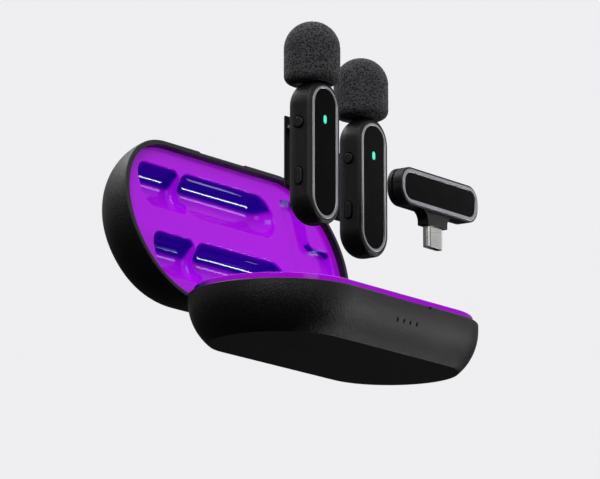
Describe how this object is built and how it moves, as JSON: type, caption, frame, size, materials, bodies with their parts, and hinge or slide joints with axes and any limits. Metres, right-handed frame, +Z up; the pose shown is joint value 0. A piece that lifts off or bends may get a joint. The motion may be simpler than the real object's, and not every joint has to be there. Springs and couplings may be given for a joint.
{
  "type": "wireless microphone kit",
  "caption": "Pill-shaped charging case with a hinged lid and two wells, clip-on wireless transmitters with foam windscreens, and a plug-in receiver bar.",
  "frame": {"origin": "centre of the case's flat bottom, on the surface that everything stands on", "axes": "+X along the case towards the receiver's pocket, +Y towards the lid's hinge, +Z up"},
  "size_m": [0.2542, 0.1981, 0.0777],
  "materials": {
    "black_shell": "fine matte texture",
    "purple_tray": "glossy",
    "magnet_nickel": "plated",
    "circuit_board": "solder mask",
    "steel": "plain",
    "battery_wrap": "foil pouch",
    "gold_contact": "gold plated",
    "light_window": "smoked light guide",
    "black_plastic": "plain",
    "grey_trim": "satin anodised",
    "black_panel": "glossy",
    "teal_light": "lit light guide",
    "black_button": "matte",
    "mic_metal": "black painted",
    "capsule_metal": "plain",
    "foam": "open-cell foam",
    "black_clip": "satin black"
  },
  "bodies": {
    "case_base": {"base_magnets": "magnet_nickel", "base_shell": "black_shell", "base_tray": "purple_tray", "case_battery": "battery_wrap", "case_board_screws": "steel", "case_circuit_board": "circuit_board", "charging_pins": "gold_contact", "charging_socket_shell": "steel", "charging_socket_tongue": "black_plastic", "hinge_pins": "steel", "indicator_board": "circuit_board", "indicator_windows": "light_window"},
    "case_lid": {"lid_magnets": "magnet_nickel", "lid_shell": "black_shell", "lid_tray": "purple_tray"},
    "receiver": {"receiver_charge_contacts": "gold_contact", "receiver_circuit_board": "circuit_board", "receiver_front_panel": "black_panel", "receiver_housing": "black_shell", "receiver_plug_collar": "black_shell", "receiver_plug_liner": "black_plastic", "receiver_plug_shell": "steel", "receiver_rear_cover": "black_shell", "receiver_trim_ring": "grey_trim"},
    "transmitter_1": {"transmitter_1_battery": "battery_wrap", "transmitter_1_charge_contacts": "gold_contact", "transmitter_1_circuit_board": "circuit_board", "transmitter_1_clip_pin": "steel", "transmitter_1_clip_spring": "steel", "transmitter_1_front_panel": "black_panel", "transmitter_1_housing": "black_shell", "transmitter_1_mic_capsule": "capsule_metal", "transmitter_1_mic_head": "mic_metal", "transmitter_1_status_light": "teal_light", "transmitter_1_trim_ring": "grey_trim"},
    "transmitter_1_windscreen": {"transmitter_1_windscreen": "foam"},
    "transmitter_1_clip": {"transmitter_1_clip": "black_clip"},
    "transmitter_1_power_button": {"transmitter_1_power_button": "black_button"},
    "transmitter_1_mute_button": {"transmitter_1_mute_button": "black_button"},
    "transmitter_2": {"transmitter_2_battery": "battery_wrap", "transmitter_2_charge_contacts": "gold_contact", "transmitter_2_circuit_board": "circuit_board", "transmitter_2_clip_pin": "steel", "transmitter_2_clip_spring": "steel", "transmitter_2_front_panel": "black_panel", "transmitter_2_housing": "black_shell", "transmitter_2_mic_capsule": "capsule_metal", "transmitter_2_mic_head": "mic_metal", "transmitter_2_status_light": "teal_light", "transmitter_2_trim_ring": "grey_trim"},
    "transmitter_2_windscreen": {"transmitter_2_windscreen": "foam"},
    "transmitter_2_clip": {"transmitter_2_clip": "black_clip"},
    "transmitter_2_power_button": {"transmitter_2_power_button": "black_button"},
    "transmitter_2_mute_button": {"transmitter_2_mute_button": "black_button"}
  },
  "joints": [
    {"name": "lid_hinge", "type": "hinge", "parent": "case_base", "child": "case_lid", "pos_m": [0, 0.032, 0.01707], "axis": [1, 0, 0], "range_deg": [0, 105.5]},
    {"name": "transmitter_1_lift", "type": "slide", "parent": "case_base", "child": "transmitter_1", "axis": [0, 0, 1], "range_m": [0, 0.08]},
    {"name": "transmitter_1_windscreen_pull", "type": "slide", "parent": "transmitter_1", "child": "transmitter_1_windscreen", "axis": [0, 0, 1], "range_m": [0, 0.012]},
    {"name": "transmitter_1_clip_open", "type": "hinge", "parent": "transmitter_1", "child": "transmitter_1_clip", "pos_m": [-0.1817, -0.11505, 0.0305], "axis": [1, 0, 0], "range_deg": [0, 14], "stiffness_Nm_per_rad": 0.03, "springref_deg": -17.19},
    {"name": "transmitter_1_power_press", "type": "slide", "parent": "transmitter_1", "child": "transmitter_1_power_button", "axis": [1, 0, 0], "range_m": [0, 0.0004], "stiffness_N_per_m": 1500, "springref_m": -0.0002},
    {"name": "transmitter_1_mute_press", "type": "slide", "parent": "transmitter_1", "child": "transmitter_1_mute_button", "axis": [1, 0, 0], "range_m": [0, 0.0004], "stiffness_N_per_m": 1500, "springref_m": -0.0002},
    {"name": "transmitter_2_lift", "type": "slide", "parent": "case_base", "child": "transmitter_2", "axis": [0, 0, 1], "range_m": [0, 0.08]},
    {"name": "transmitter_2_windscreen_pull", "type": "slide", "parent": "transmitter_2", "child": "transmitter_2_windscreen", "axis": [0, 0, 1], "range_m": [0, 0.012]},
    {"name": "transmitter_2_clip_open", "type": "hinge", "parent": "transmitter_2", "child": "transmitter_2_clip", "pos_m": [-0.1339, -0.09925, 0.0305], "axis": [1, 0, 0], "range_deg": [0, 14], "stiffness_Nm_per_rad": 0.03, "springref_deg": -17.19},
    {"name": "transmitter_2_power_press", "type": "slide", "parent": "transmitter_2", "child": "transmitter_2_power_button", "axis": [1, 0, 0], "range_m": [0, 0.0004], "stiffness_N_per_m": 1500, "springref_m": -0.0002},
    {"name": "transmitter_2_mute_press", "type": "slide", "parent": "transmitter_2", "child": "transmitter_2_mute_button", "axis": [1, 0, 0], "range_m": [0, 0.0004], "stiffness_N_per_m": 1500, "springref_m": -0.0002},
    {"name": "receiver_lift", "type": "slide", "parent": "case_base", "child": "receiver", "axis": [0, 0, 1], "range_m": [0, 0.08]}
  ]
}
